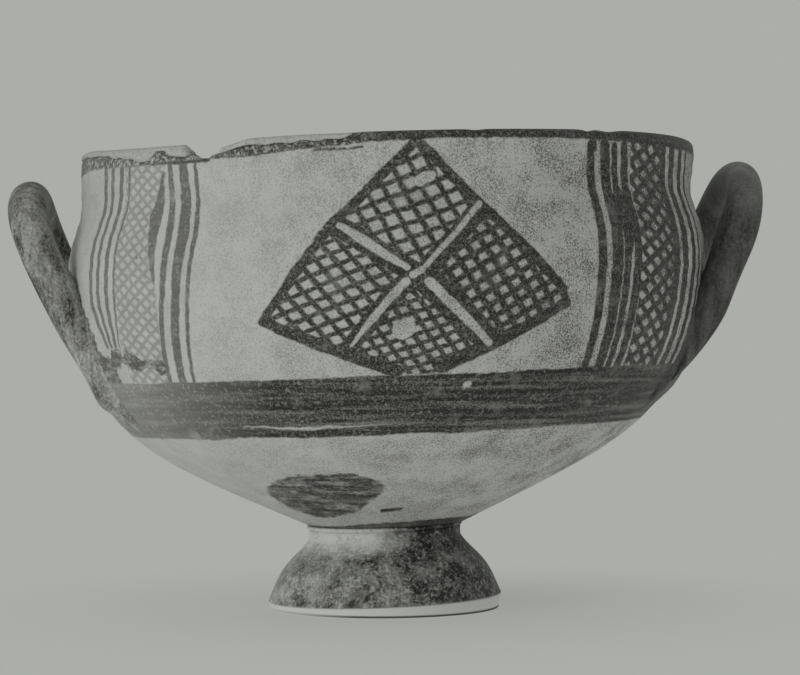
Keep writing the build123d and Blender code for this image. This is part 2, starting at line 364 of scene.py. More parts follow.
def fill_piece(node, start, end, seed):
    """A run of plaster on the lip, between two azimuths in degrees."""
    degrees = np.arange(start, end + FILL_SPACING / 2, FILL_SPACING)
    bottom = broken_edge(degrees) - FILL_BED
    plaster_rim = sound_rim(degrees) - FILL_LOW + FILL_UNEVEN * waver(seed, (np.radians(degrees), 25))
    top = np.maximum(plaster_rim, bottom + FILL_BED + FILL_LEAST)
    half = LIP_THICKNESS / 2 - FILL_RECESS
    turns = np.linspace(0, math.pi, CREST_ROWS)
    shares = [0.0, *(CREST_START + (1 - CREST_START) * np.sin(turns)), 0.0]
    sides = [half, *(half * np.cos(turns)), -half]
    radius = LIP_RADIUS - LIP_THICKNESS / 2 + np.array(sides)[:, None]
    height = bottom + np.array(shares)[:, None] * (top - bottom)
    rows, columns = height.shape
    faces = grid_faces(rows, columns, closed_rows=True)
    first = [row * columns for row in range(rows)]
    faces.append(first)
    faces.append([corner + columns - 1 for corner in first])
    return make_piece(node, around(radius, np.radians(degrees), height), faces, "plaster")


fills = [
    fill_piece("rim_fill_left", *FILL_LEFT, seed=31),
    fill_piece("rim_fill_front", *FILL_FRONT, seed=32),
]

# %% [markdown]
# The foot is a hollow cone, thrown by itself and stuck under the bowl a little off the middle. It was
# trimmed level, so its base stays flat on the table while the rest leans. A cone primitive has straight
# sides, so the foot is turned from an outline as the bowl is.

# %% The foot
FOOT_OFFSET = -0.7
FOOT_TOP = 21.0
NECK_RADIUS = 19.9
NECK_HEIGHT = 20.0
FOOT_POINTS = ((NECK_RADIUS, 18.5), (25.7, 12.0), (28.3, 8.0), (30.6, 2.8))
NECK_WAY = (0.6, -1.0)
EDGE_WAY = (0.5, -1.0)
FOOT_BASE_RADIUS = 29.9
# How far each point of the foot's edge stands out from the base, and its height
FOOT_EDGE = ((-0.5, 0.0), (0.0, 0.0), (0.25, 0.9), (0.5, 1.9))
HOLLOW_BASE_RADIUS = 23.5
HOLLOW_TOP_RADIUS = 12.5
FLARE_ROWS = 26
HOLLOW_ROWS = 12
FOOT_COLUMNS = 240
FOOT_SWELL = 0.16
FOOT_SWELL_LENGTH = 12.0


def turned_ring(outline, swell_depth, seed):
    """A ring turned from a closed outline, with its own swell, off the middle as the foot is."""
    turn = np.linspace(-math.pi, math.pi, FOOT_COLUMNS, endpoint=False)
    outline = np.array(outline)
    height = np.repeat(outline[:, 1:], FOOT_COLUMNS, axis=1)
    radius = outline[:, :1] + swell_depth * waver(seed, (turn, 4), (height / FOOT_SWELL_LENGTH, 1))
    points = around(radius, turn, height)
    points[..., 0] += FOOT_OFFSET
    on_table = height <= 0
    points[on_table, 2] = -LEAN_RISE * points[on_table, 0]
    faces = grid_faces(len(outline), FOOT_COLUMNS, closed_rows=True, closed_columns=True)
    return points.reshape(-1, 3), faces


foot_flare = smooth_curve(FOOT_POINTS, NECK_WAY, EDGE_WAY, FLARE_ROWS)
foot_outline = [(FOOT_BASE_RADIUS + out, level) for out, level in FOOT_EDGE]
foot_outline += [*foot_flare[::-1].tolist(), (NECK_RADIUS, NECK_HEIGHT), (NECK_RADIUS, FOOT_TOP)]
foot_outline += [
    (np.interp(level, (0, FOOT_TOP), (HOLLOW_BASE_RADIUS, HOLLOW_TOP_RADIUS)), level)
    for level in np.linspace(FOOT_TOP, 0, HOLLOW_ROWS)
]
foot = make_piece("foot", *turned_ring(foot_outline, FOOT_SWELL, seed=41), "slipped_clay")

# %% [markdown]
# A luting is the wet slip that glues two pieces of clay. The one between foot and bowl squeezed out a
# little when they were pressed together, so the ring's outline ends in a small round bulge.

# %% The foot's luting
LUTING_ROUND = 0.55
# The middle of the bulge lies this far in and down from the join, in shares of its round
LUTING_SET_IN = 1.2
LUTING_DROP = 0.9
LUTING_NECK = 19.0
LUTING_OVER = 0.1
LUTING_SWELL = 0.1
BULGE_ROWS = 9

bulge_turns = np.linspace(0, math.pi, BULGE_ROWS)
bulge_radii = JOIN_RADIUS - LUTING_ROUND * (LUTING_SET_IN - np.sin(bulge_turns))
bulge_heights = JOIN_HEIGHT - LUTING_ROUND * (LUTING_DROP + np.cos(bulge_turns))
luting_outline = [(HOLLOW_TOP_RADIUS, FOOT_TOP), (LUTING_NECK, FOOT_TOP), *zip(bulge_radii, bulge_heights)]
luting_outline += [(LUTING_NECK, JOIN_HEIGHT + LUTING_OVER), (HOLLOW_TOP_RADIUS, JOIN_HEIGHT)]
foot_luting = make_piece("foot_luting", *turned_ring(luting_outline, LUTING_SWELL, seed=42), "luting_slip")

# %% [markdown]
# Each handle is a rolled coil of clay, bent into a loop and pressed on the wall so that it leans out and
# up. A curve with a round bevel would be exact, but rolled clay is not: the tube here is built ring by ring
# so that its thickness wanders and its roots spread. The middle line follows the same leaning arms and
# rounded end as the frame's coil.

# %% The middle line of a handle
COIL_RADIUS = 4.9
ROOT_HEIGHT = 59.5
ROOT_HALF_SPACING = 25.0
LOOP_HALF_WIDTH = 24.0
ROOT_BEND_RADIUS = 10.0
ROOT_TAIL = 11.5
TIP_PAST_BELLY = 10.1
TIP_REACH = BELLY_RADIUS + TIP_PAST_BELLY
ARM_STEPS = 500
ARM_ROWS = 60
BIGHT_ROWS = 42
# Leans are in degrees, power says how late the lean changes and pressed how flat the roots were squeezed
HANDLES = {
    "left": dict(
        side=-1, sink=1.9, length=55.6, bight=13.0, root_lean=28.3, tip_lean=9.5, power=4.0, pressed=0.2,
    ),
    "right": dict(
        side=1, sink=-0.4, length=54.1, bight=15.0, root_lean=31.0, tip_lean=15.0, power=1.0, pressed=1.0,
    ),
}


def arm_table(shape):
    """Distances along an arm from below its root to its tip, with the reach and height at each."""
    along = np.linspace(-ROOT_TAIL, shape["length"], ARM_STEPS)
    root, tip = math.radians(shape["root_lean"]), math.radians(shape["tip_lean"])
    eased = (np.maximum(along, 0) / shape["length"]) ** shape["power"]
    lean = np.where(along < 0, root - along / ROOT_BEND_RADIUS, root + (tip - root) * eased)
    step = along[1] - along[0]
    out = np.cumsum(np.sin(lean)) * step
    up = np.cumsum(np.cos(lean)) * step
    out -= np.interp(0, along, out)
    up -= np.interp(0, along, up)
    root_reach = math.sqrt(wall_radius(ROOT_HEIGHT) ** 2 - ROOT_HALF_SPACING ** 2) - shape["sink"]
    return along, root_reach + out * (TIP_REACH - root_reach) / out[-1], ROOT_HEIGHT + up


def loop_line(shape):
    """The middle line of a handle: up the front arm, round the end and down the rear arm."""
    arm = shape["length"] - shape["bight"]
    front_along = np.linspace(-ROOT_TAIL, arm, ARM_ROWS)
    front_side = np.interp(front_along, (0, arm), (ROOT_HALF_SPACING, LOOP_HALF_WIDTH))
    turns = np.linspace(0, math.pi, BIGHT_ROWS)[1:-1]
    along = np.concatenate([front_along, arm + shape["bight"] * np.sin(turns), front_along[::-1]])
    sideways = np.concatenate([-front_side, -LOOP_HALF_WIDTH * np.cos(turns), front_side[::-1]])
    table, reach, height = arm_table(shape)
    x = shape["side"] * np.interp(along, table, reach)
    return np.stack([x, sideways, np.interp(along, table, height)], axis=1)


handle_lines = {name: loop_line(shape) for name, shape in HANDLES.items()}
for name, line in handle_lines.items():
    print("the", name, "handle's middle line reaches", round(float(abs(line[:, 0]).max()), 1), "mm")

# %% [markdown]
# The coil is a little uneven where fingers rolled it and swells towards its roots. The potter pressed the
# roots against the wall, those of the right handle nearly flat. Where the coil meets the bowl its points
# stop just under the wall's surface, so that no part of it comes out inside the cup.

# %% The handles
COIL_COLUMNS = 32
COIL_WAVER = 0.2
ROOT_SPREAD = 0.7
ROOT_SPREAD_LENGTH = 16.0
ROOT_BURIED = 1.6
ROOT_TAPER_DROP = 7.5
ROOT_TAPER = 0.75
ROOT_TAPER_POWER = 1.5
PRESS_BELOW = 3.0
PRESS_LENGTH = 20.0
PRESS_POWER = 1.6


def handle_piece(name, seed):
    """A rolled coil along a handle's middle line, merged into the wall at both ends."""
    line = handle_lines[name]
    way = np.gradient(line, axis=0)
    way /= np.linalg.norm(way, axis=1)[:, None]
    facing = np.tile((HANDLES[name]["side"], 0.0, 0.0), (len(line), 1))
    facing -= way * np.sum(facing * way, axis=1)[:, None]
    facing /= np.linalg.norm(facing, axis=1)[:, None]
    across = np.cross(way, facing)
    turn = np.linspace(0, 2 * math.pi, COIL_COLUMNS, endpoint=False)
    along = np.linspace(0, 2 * math.pi, len(line))[:, None]
    height_over_root = line[:, 2] - ROOT_HEIGHT
    spread = ROOT_SPREAD * np.clip(1 - height_over_root / ROOT_SPREAD_LENGTH, 0, 1) ** 2
    thickness = COIL_RADIUS + spread[:, None] + COIL_WAVER * waver(seed, (along, 7), (turn, 2))
    below_root = np.clip(-height_over_root / ROOT_TAPER_DROP, 0, 1)[:, None]
    thickness *= 1 - ROOT_TAPER * below_root ** ROOT_TAPER_POWER
    press = (1 - np.clip((height_over_root + PRESS_BELOW) / PRESS_LENGTH, 0, 1)) ** PRESS_POWER
    facing *= 1 - HANDLES[name]["pressed"] * press[:, None]
    ring = thickness[..., None] * (
        np.cos(turn)[None, :, None] * facing[:, None] + np.sin(turn)[None, :, None] * across[:, None]
    )
    points = line[:, None] + ring
    reach = np.hypot(points[..., 0], points[..., 1])
    least = wall_radius(points[..., 2]) - ROOT_BURIED
    push = np.maximum(least / reach, 1.0)
    points[..., :2] *= push[..., None]
    faces = grid_faces(len(line), COIL_COLUMNS, closed_columns=True)
    faces += end_caps(len(line), COIL_COLUMNS)
    return make_piece(f"handle_{name}", points, faces, "slipped_clay")


handles = {name: handle_piece(name, seed) for name, seed in (("left", 51), ("right", 52))}

# %% [markdown]
# Wet slip glued each root to the wall, and a wet finger smoothed it into a little fillet. A bevel cannot
# blend two separate pieces, so the fillet is a patch of the wall, raised near the coil and sinking under
# the surface a few millimetres away from it.

# %% The lutings of the handles
FILLET_WIDTH = 2.6
FILLET_HEIGHT = 2.2
FILLET_POWER = 1.3
PATCH_DEPTH = 1.4
PATCH_SUNK = 0.5
PATCH_COLUMNS = 34
PATCH_ROWS = 46
PATCH_BELOW = 13.0
PATCH_ABOVE = 18.0
PATCH_FADE = 9.0
PATCH_MARGIN = 1.0
# About the wall's radius at the roots, which turns a width into an angle
ROOT_WALL_RADIUS = 76.0


def luting_piece(name, end):
    """The fillet of slip round one root of a handle: end is -1 at the front and 1 at the rear."""
    line = handle_lines[name]
    arm = line[:ARM_ROWS] if end < 0 else line[-ARM_ROWS:]
    root_reach = math.sqrt(ROOT_WALL_RADIUS ** 2 - ROOT_HALF_SPACING ** 2)
    middle = math.atan2(HANDLES[name]["side"] * root_reach, -end * ROOT_HALF_SPACING)
    half_turn = (COIL_RADIUS + ROOT_SPREAD + FILLET_WIDTH + PATCH_MARGIN) / ROOT_WALL_RADIUS
    turn = np.linspace(middle - half_turn, middle + half_turn, PATCH_COLUMNS)
    height = np.linspace(ROOT_HEIGHT - PATCH_BELOW, ROOT_HEIGHT + PATCH_ABOVE, PATCH_ROWS)[:, None]
    from_ends = np.minimum(height - height[0], height[-1] - height)
    surface = around(wall_radius(height), turn, height)
    gap = np.linalg.norm(surface[:, :, None] - arm[None, None], axis=-1).min(axis=-1) - COIL_RADIUS
    raised = FILLET_HEIGHT * np.clip(1 - gap / FILLET_WIDTH, 0, 1) ** FILLET_POWER
    raised = raised * np.clip(from_ends / PATCH_FADE, 0, 1)
    over = around(wall_radius(height) + raised - PATCH_SUNK, turn, height)
    under = around(wall_radius(height) - PATCH_DEPTH, turn, height)
    count = PATCH_ROWS * PATCH_COLUMNS
    top = grid_faces(PATCH_ROWS, PATCH_COLUMNS)
    faces = top + [[corner + count for corner in face] for face in top]
    index = np.arange(count).reshape(PATCH_ROWS, PATCH_COLUMNS)
    edge = np.concatenate([index[0], index[1:, -1], index[-1, -2::-1], index[-2:0:-1, 0]])
    for here, there in zip(edge, np.roll(edge, -1)):
        faces.append([int(here), int(there), int(there) + count, int(here) + count])
    points = np.concatenate([over.reshape(-1, 3), under.reshape(-1, 3)])
    where = "front" if end < 0 else "rear"
    return make_piece(f"handle_{name}_{where}_luting", points, faces, "luting_slip")


lutings = [luting_piece(name, end) for name in HANDLES for end in (-1, 1)]

# %% [markdown]
# Materials come next. The picture is grey, so the greys are taken as they are. Colours are written as the
# sRGB hex values that a paint program shows, and one function turns them into the linear values that
# Blender works with. A second function adds any node, sets it up and links what goes into it.

# %% Colours and nodes
def linear(hex_colour):
    """A colour written in sRGB hex, as linear red, green, blue and alpha."""
    shares = [int(hex_colour[place:place + 2], 16) / 255 for place in (1, 3, 5)]
    light = [share / 12.92 if share <= 0.04045 else ((share + 0.055) / 1.055) ** 2.4 for share in shares]
    return (*light, 1.0)


def add(tree, kind, inputs=(), **settings):
    """Adds a node and returns its first output. Inputs go by name, or in the order of the sockets in use."""
    node = tree.nodes.new("ShaderNode" + kind)
    for name, value in settings.items():
        setattr(node, name, value)
    by_name = isinstance(inputs, dict)
    sockets = node.inputs if by_name else [socket for socket in node.inputs if socket.enabled]
    for place, value in inputs.items() if by_name else enumerate(inputs):
        if isinstance(value, bpy.types.NodeSocket):
            tree.links.new(value, sockets[place])
        elif value is not None:
            sockets[place].default_value = value
    return next((socket for socket in node.outputs if socket.enabled), None)


def new_tree(material_name):
    """A new material and its empty node tree."""
    material = bpy.data.materials.new(material_name)
    material.use_nodes = True
    material.node_tree.nodes.clear()
    return material, material.node_tree


print("mid grey #808080 is", round(linear("#808080")[0], 3), "in linear light")

# %% [markdown]
# Every finish on the cup ends the same way: a colour, a roughness and a height in millimetres that stands
# for the grain. Fired clay and slip are both dull insulators, so the index of refraction stays at 1.5.
# Their pores swallow part of the shine, and a low specular level stands for that.

# %% From colour and grain to a surface
CERAMIC_IOR = 1.5
POROUS_SPECULAR = 0.2


def dull_surface(tree, colour, roughness, grain, grain_depth):
    """Finishes a material: grain is a value from 0 to 1 that stands for a depth in millimetres."""
    normal = add(tree, "Bump", {"Strength": 1.0, "Distance": grain_depth * MILLIMETRE, "Height": grain})
    shader = add(tree, "BsdfPrincipled", {
        "Base Color": colour,
        "Roughness": roughness,
        "IOR": CERAMIC_IOR,
        "Specular IOR Level": POROUS_SPECULAR,
        "Normal": normal,
    })
    add(tree, "OutputMaterial", {"Surface": shader})


def cup_place(tree):
    """The place on the cup in millimetres, its x, and its height as if the cup stood upright."""
    place = add(tree, "TexCoord").node.outputs["Object"]
    place = add(tree, "VectorMath", (place, 1 / MILLIMETRE), operation="SCALE")
    x = add(tree, "SeparateXYZ", (place,))
    height = add(tree, "Math", (x, -LEAN_RISE, x.node.outputs["Z"]), operation="MULTIPLY_ADD")
    return place, x, height


print("ceramic surfaces use an index of refraction of", CERAMIC_IOR)

# %% [markdown]
# The painted wall is the heart of this cup. The pattern could be drawn as an image, but a drawing made of
# nodes stays sharp at any distance and needs no file. The wall is unrolled in the shader: the azimuth times
# about the belly's radius gives a place along the wall, and the height is the other coordinate, both in mm.
# Two noises push the place about, as an unsteady hand and the hairs of a brush do. The pattern on the back
# is out of sight here. Such cups usually carry it twice, so it repeats there.

# %% Unroll the wall
UNROLL_RADIUS = 83.0
HAND_WAVER = 1.3
HAND_WAVER_LENGTH = 14.0
BRUSH_EDGE = 0.75
BRUSH_EDGE_LENGTH = 1.6

painted_clay, wall = new_tree("fired clay, thrown and painted with slip")
place, x, height = cup_place(wall)
away = add(wall, "Math", (x.node.outputs["Y"], -1.0), operation="MULTIPLY")
azimuth = add(wall, "Math", (x, away), operation="ARCTAN2")
azimuth = add(wall, "Math", (azimuth, math.pi / 2, -math.pi / 2), operation="WRAP")
along = add(wall, "Math", (azimuth, UNROLL_RADIUS), operation="MULTIPLY")
unrolled = add(wall, "CombineXYZ", (along, height))
for amount, length in ((HAND_WAVER, HAND_WAVER_LENGTH), (BRUSH_EDGE, BRUSH_EDGE_LENGTH)):
    noise = add(wall, "TexNoise", {"Vector": place, "Scale": 1 / length, "Detail": 2.0})
    drift = add(wall, "VectorMath", (noise.node.outputs["Color"], (0.5, 0.5, 0.5)), operation="SUBTRACT")
    unrolled = add(wall, "VectorMath", (drift, (amount, amount, 0.0), unrolled), operation="MULTIPLY_ADD")
along = add(wall, "SeparateXYZ", (unrolled,))
height = along.node.outputs["Y"]
print("the wall unrolls to", round(math.pi * UNROLL_RADIUS), "mm for each half")

# %% [markdown]
# A brush stroke is a run of straight pieces that swell or thin along the way. For each piece the shader
# finds the nearest point on it and compares the distance with the half width there. What is left is the
# reach: how far inside the stroke a place lies, below zero outside it. The largest reach of many strokes is
# their union.

# %% Brush strokes
def stroke_reaches(tree, unrolled, strokes):
    """The reaches of the straight pieces of strokes, each given as its points and its half widths there."""
    reaches = []
    for points, half_widths in strokes:
        for start, end, start_half, end_half in zip(points, points[1:], half_widths, half_widths[1:]):
            run = np.subtract(end, start)
            unit = run / run.dot(run)
            offset = add(tree, "VectorMath", (unrolled, (*start, 0.0)), operation="SUBTRACT")
            share = add(tree, "VectorMath", (offset, (*unit, 0.0)), operation="DOT_PRODUCT")
            share = add(tree, "Clamp", (share,))
            nearest = add(tree, "VectorMath", ((*run, 0.0), share), operation="SCALE")
            gap = add(tree, "VectorMath", (offset, nearest), operation="DISTANCE")
            half = add(tree, "Math", (share, end_half - start_half, start_half), operation="MULTIPLY_ADD")
            reaches.append(add(tree, "Math", (half, gap), operation="SUBTRACT"))
    return reaches


def joined(tree, reaches, operation="MAXIMUM"):
    """The union of several reaches, or with MINIMUM the part that they share."""
    whole = reaches[0]
    for reach in reaches[1:]:
        whole = add(tree, "Math", (whole, reach), operation=operation)
    return whole


dark_reaches = []
faint_reaches = []
worn_reaches = []
bare_reaches = []
print("four kinds of mark: dark paint, faint paint, paint that is nearly gone, and bare clay")

# %% [markdown]
# The lozenge fills the middle of the wall. A broad line borders it, and a pale cross of reserved clay with
# dark edges cuts it into four. The painter drew it freehand: its left upper side bends and its corners do
# not match, so each side has its own points, in mm along the wall and above the table.

# %% The lozenge and its cross
LOZENGE_SIDES = (
    (((2.2, 115.4), (-17.0, 97.2), (-34.2, 75.4)), (1.2, 1.2, 1.1)),
    (((3.4, 115.4), (38.8, 80.4), (40.4, 77.2)), (1.2, 1.25, 1.0)),
    (((-34.2, 75.4), (-14.5, 67.0), (-2.0, 62.6)), (1.2, 1.5, 1.7)),
    (((40.4, 77.2), (24.2, 69.4), (9.0, 63.4)), (1.2, 1.6, 1.7)),
)
CROSS_EDGES = (
    (((-16.5, 97.2), (0.3, 86.3)), (2.6, 2.5)),
    (((19.2, 101.2), (5.4, 86.4)), (2.4, 2.6)),
    (((0.0, 83.2), (-7.5, 75.5), (-13.5, 68.4)), (2.5, 2.4, 1.9)),
    (((5.5, 83.0), (12.0, 76.5), (21.5, 67.6)), (3.4, 3.5, 3.0)),
    (((0.8, 86.0), (4.8, 84.0)), (2.6, 2.6)),
)
CROSS = (
    (((-15.4, 96.8), (-9.0, 92.6), (0.3, 86.5)), (0.7, 1.15, 0.75)),
    (((18.0, 100.8), (4.8, 86.8)), (0.7, 0.6)),
    (((1.6, 84.6), (3.8, 85.9)), (0.8, 0.8)),
    (((0.0, 83.2), (-7.5, 75.5), (-13.0, 69.0)), (1.0, 0.9, 0.35)),
    (((5.5, 83.0), (12.0, 76.5), (20.5, 68.5)), (1.1, 1.1, 0.8)),
)
dark_reaches += stroke_reaches(wall, unrolled, LOZENGE_SIDES)
cross_edges = stroke_reaches(wall, unrolled, CROSS_EDGES)
bare_reaches += stroke_reaches(wall, unrolled, CROSS)
print("lozenge and cross take", len(dark_reaches) + len(bare_reaches), "straight pieces")

# %% [markdown]
# Hatching is two families of parallel lines. Two Wave textures could draw them, but each has one fixed
# angle. Counting works at any angle: one dot product counts how many lines a place is past, and folding
# that count gives the distance to the nearest line.

# %% Families of lines
TYPICAL_SPACING = 3.2


def family(angle, spacing, cell_row, rising):
    """The vector whose dot product with (along, height, 1) counts rows of cells, whole at their middles."""
    turn = math.radians(angle)
    normal = (-math.sin(turn), math.cos(turn)) if rising else (math.sin(turn), math.cos(turn))
    return normal[0] / spacing, normal[1] / spacing, -cell_row / spacing


def hatch_reach(tree, counted, rising, falling, line_share):
    """The reach of a hatch of two families, each given as a vector."""
    folds = []
    for vector in (rising, falling):
        count = add(tree, "VectorMath", (counted, vector), operation="DOT_PRODUCT")
        folds.append(add(tree, "Math", (count, 0.5), operation="PINGPONG"))
    fold = joined(tree, folds)
    past = add(tree, "Math", (fold, line_share), operation="ADD")
    return add(tree, "Math", (past, TYPICAL_SPACING, -0.5 * TYPICAL_SPACING), operation="MULTIPLY_ADD")


counted = add(wall, "VectorMath", (unrolled, (0.0, 0.0, 1.0)), operation="ADD")
print("level lines 2 mm apart are counted by", family(0, 2.0, 0.0, rising=True))

# %% [markdown]
# The cross parts the lozenge into four fields, each hatched at its own angles and spacings. The wall is
# sorted by straight lines: which side of the border a place lies on, and which side of either arm of the
# cross. A few Mix nodes then choose the numbers of its field, so that one hatch serves all four.

# %% The hatched fields
LOZENGE_MIDDLE = (2.5, 85.0)
LOZENGE_CORNERS = ((2.8, 117.5), (41.5, 77.2), (9.0, 62.0), (-3.0, 61.8), (-35.5, 75.1), (-18.5, 98.0))
# Each arm of the cross is a line and a point on its upper side
FALLING_ARM = ((-15.4, 96.8), (20.5, 68.5), (10.0, 95.0))
RISING_ARM = ((18.2, 101.0), (-13.0, 69.0), (-10.0, 90.0))
# A family is an angle in degrees, a spacing and where one row of cells lies, both in mm. Each field has
# its rising and its falling family, and the share of the spacing that a line covers
FIELDS = {
    "top": ((18, 3.45, 93.7), (62, 3.95, 43.1), 0.18),
    "left": ((19, 2.9, 80.7), (50, 3.38, 29.3), 0.2),
    "right": ((29, 3.03, 65.4), (56, 3.5, 57.4), 0.25),
    "bottom": ((16, 2.44, 61.7), (53, 2.9, 48.6), 0.22),
}
BARE_SPOT = (((-0.9, 72.3), (0.1, 72.7)), (2.2, 2.2))


def side_reach(tree, unrolled, start, end, towards):
    """How far a place lies past the straight line from start to end, on the side of a third point."""
    run = np.subtract(end, start)
    normal = np.array([-run[1], run[0]]) / np.linalg.norm(run)
    if normal.dot(np.subtract(towards, start)) < 0:
        normal = -normal
    across = add(tree, "VectorMath", (unrolled, (*normal, 0.0)), operation="DOT_PRODUCT")
    return add(tree, "Math", (across, float(normal.dot(start))), operation="SUBTRACT")


corner_pairs = zip(LOZENGE_CORNERS, LOZENGE_CORNERS[1:] + LOZENGE_CORNERS[:1])
borders = [side_reach(wall, unrolled, *pair, LOZENGE_MIDDLE) for pair in corner_pairs]
inside_lozenge = joined(wall, borders, "MINIMUM")
over_falling, over_rising = (
    add(wall, "Math", (side_reach(wall, unrolled, *arm), 0.0), operation="GREATER_THAN")
    for arm in (FALLING_ARM, RISING_ARM)
)


def by_field(tree, values, data_type):
    """One of four values, by the field of the lozenge that a place lies in."""
    lower = add(tree, "Mix", (over_rising, values["bottom"], values["left"]), data_type=data_type)
    upper = add(tree, "Mix", (over_rising, values["right"], values["top"]), data_type=data_type)
    return add(tree, "Mix", (over_falling, lower, upper), data_type=data_type)


rising = by_field(wall, {field: family(*row[0], rising=True) for field, row in FIELDS.items()}, "VECTOR")
falling = by_field(wall, {field: family(*row[1], rising=False) for field, row in FIELDS.items()}, "VECTOR")
line_share = by_field(wall, {field: row[2] for field, row in FIELDS.items()}, "FLOAT")
lozenge_hatch = hatch_reach(wall, counted, rising, falling, line_share)
lozenge_marks = joined(wall, [lozenge_hatch, *cross_edges])
dark_reaches.append(joined(wall, [lozenge_marks, inside_lozenge], "MINIMUM"))
bare_reaches += stroke_reaches(wall, unrolled, [BARE_SPOT])
print("hatched fields:", list(FIELDS))

# %% [markdown]
# A panel of upright lines stands on either side of the lozenge. The right one is heavily painted, and its
# lines bow a little. A smear between two of them is one painter's slip of the hand, so it is kept to the
# front.

# %% The right panel
PANEL_BOTTOM = 61.5
PANEL_TOP = 114.5
BOW_HEIGHT = 86.0
# A line bows by the least at BOW_FROM along the wall, and by 1 mm more for each BOW_GROWTH after it
BOW_LEAST = 1.0
BOW_FROM = 50.0
BOW_GROWTH = 25.0
# Each line is its middle along the wall and its half width
RIGHT_LINES = (
    (50.9, 1.45), (56.0, 1.95), (59.6, 1.3), (63.5, 1.6), (82.4, 1.9), (88.0, 2.0), (94.7, 1.8), (100.6, 1.0),
)
RIGHT_WIDTHS = (0.85, 1.0, 0.85)
RIGHT_SMEAR = (((58.5, 106.5), (59.5, 100.0), (60.5, 88.0)), (0.3, 4.2, 0.3))
FAR_OUTSIDE = -5.0

in_front = add(wall, "Math", (away, 0.0), operation="GREATER_THAN")


def front_only(reaches):
    """The union of some reaches, on the front of the cup alone."""
    return add(wall, "Mix", (in_front, FAR_OUTSIDE, joined(wall, reaches)), data_type="FLOAT")


right_strokes = []
for middle, half in RIGHT_LINES:
    bow = BOW_LEAST + (middle - BOW_FROM) / BOW_GROWTH
    points = ((middle - bow, PANEL_BOTTOM), (middle, BOW_HEIGHT), (middle - bow, PANEL_TOP))
    right_strokes.append((points, [half * share for share in RIGHT_WIDTHS]))
dark_reaches += stroke_reaches(wall, unrolled, right_strokes)
dark_reaches.append(front_only(stroke_reaches(wall, unrolled, [RIGHT_SMEAR])))
print("lines of the right panel:", len(right_strokes))

# %% [markdown]
# The left panel has lost much of its paint. Its narrow lines lean and draw together towards their worn
# lower ends, its broad lines swing to the left below, and slip was smeared over its foot and the handle's
# root.

# %% The left panel
LEFT_LINES = ((-93.6, 1.05), (-89.4, 0.9), (-84.8, 1.0), (-81.0, 0.5))
LEFT_WIDTHS = (0.7, 1.0, 1.0)
LEFT_LEAN = 0.067
LEFT_WORN_BOTTOM = 71.0
GATHER_MIDDLE = -83.0
GATHER_SHARE = 0.5
GATHER_FROM = 82.0
BROAD_LINES = ((-61.1, 1.1), (-56.6, 1.8), (-52.8, 0.75))
# How far the broad lines stand aside at these heights, and the share of their width there
SWING_HEIGHTS = (PANEL_BOTTOM, 80.0, 97.0, PANEL_TOP)
SWING_ASIDE = (-4.2, -1.6, 0.4, -1.9)
SWING_WIDTHS = (0.7, 0.75, 1.0, 0.75)
LEFT_WEDGE = (((-65.4, 112.0), (-66.8, 102.0), (-65.0, 86.0)), (0.4, 2.3, 0.4))
LEFT_TOP_LINE = (((-98.0, 115.6), (-78.0, 114.6), (-52.0, 114.6)), (0.35, 0.35, 0.45))
LEFT_SMEARS = (
    (((-104.0, 84.0), (-98.5, 72.0), (-95.0, 62.0)), (1.5, 4.0, 7.5)),
    (((-86.0, 67.5), (-66.0, 65.5)), (1.8, 1.4)),
)

left_strokes = [LEFT_WEDGE, LEFT_TOP_LINE]
for middle, half in LEFT_LINES:
    gathered = middle + GATHER_SHARE * (GATHER_MIDDLE - middle)
    points = [(gathered, LEFT_WORN_BOTTOM)]
    points += [(middle + LEFT_LEAN * (level - BOW_HEIGHT), level) for level in (GATHER_FROM, PANEL_TOP)]
    left_strokes.append((points, [half * share for share in LEFT_WIDTHS]))
for middle, half in BROAD_LINES:
    points = [(middle + aside, level) for aside, level in zip(SWING_ASIDE, SWING_HEIGHTS)]
    left_strokes.append((points, [half * share for share in SWING_WIDTHS]))
faint_reaches += stroke_reaches(wall, unrolled, left_strokes)
smears = front_only(stroke_reaches(wall, unrolled, LEFT_SMEARS))
print("strokes of the left panel:", len(left_strokes))

# %% [markdown]
# Each panel has a hatched column between its lines, finer on the left. The column is a hatch kept between
# two places along the wall and above the broad band.

# %% The hatched columns
# Each column is its start and end along the wall, its two families and the share that a line covers
RIGHT_COLUMN = ((64.5, 81.0), family(31, 3.77, 60.0, rising=True), family(38, 3.27, 60.0, rising=False), 0.24)
LEFT_COLUMN = ((-81.0, -64.5), family(31, 2.6, 60.0, rising=True), family(38, 2.25, 60.0, rising=False), 0.2)

for column, reaches in ((RIGHT_COLUMN, dark_reaches), (LEFT_COLUMN, worn_reaches)):
    (start, end), *hatch = column
    panel_hatch = hatch_reach(wall, counted, *hatch)
    past_start = add(wall, "Math", (along, start), operation="SUBTRACT")
    before_end = add(wall, "Math", (end, along), operation="SUBTRACT")
    above = add(wall, "Math", (height, PANEL_BOTTOM), operation="SUBTRACT")
    reaches.append(joined(wall, [panel_hatch, past_start, before_end, above], "MINIMUM"))
    print("a hatched column runs from", start, "to", end, "mm along the wall")

# %% [markdown]
# A broad band runs round under the panels, a narrow one along the lip and a dark ring where the foot was
# stuck on. A band could be a stroke too, but a plain comparison of heights is enough. The lip's band was
# painted by eye, so its lower edge wanders along the wall, and the ring has worn off on the left.

# %% The bands
BAND = (47.55, 61.6)
LIP_BAND = 116.1
LIP_BAND_FRONT = 114.3
LIP_BAND_LEFT = (115.5, 113.7)
LIP_BAND_RIGHT_DROP = 1.5
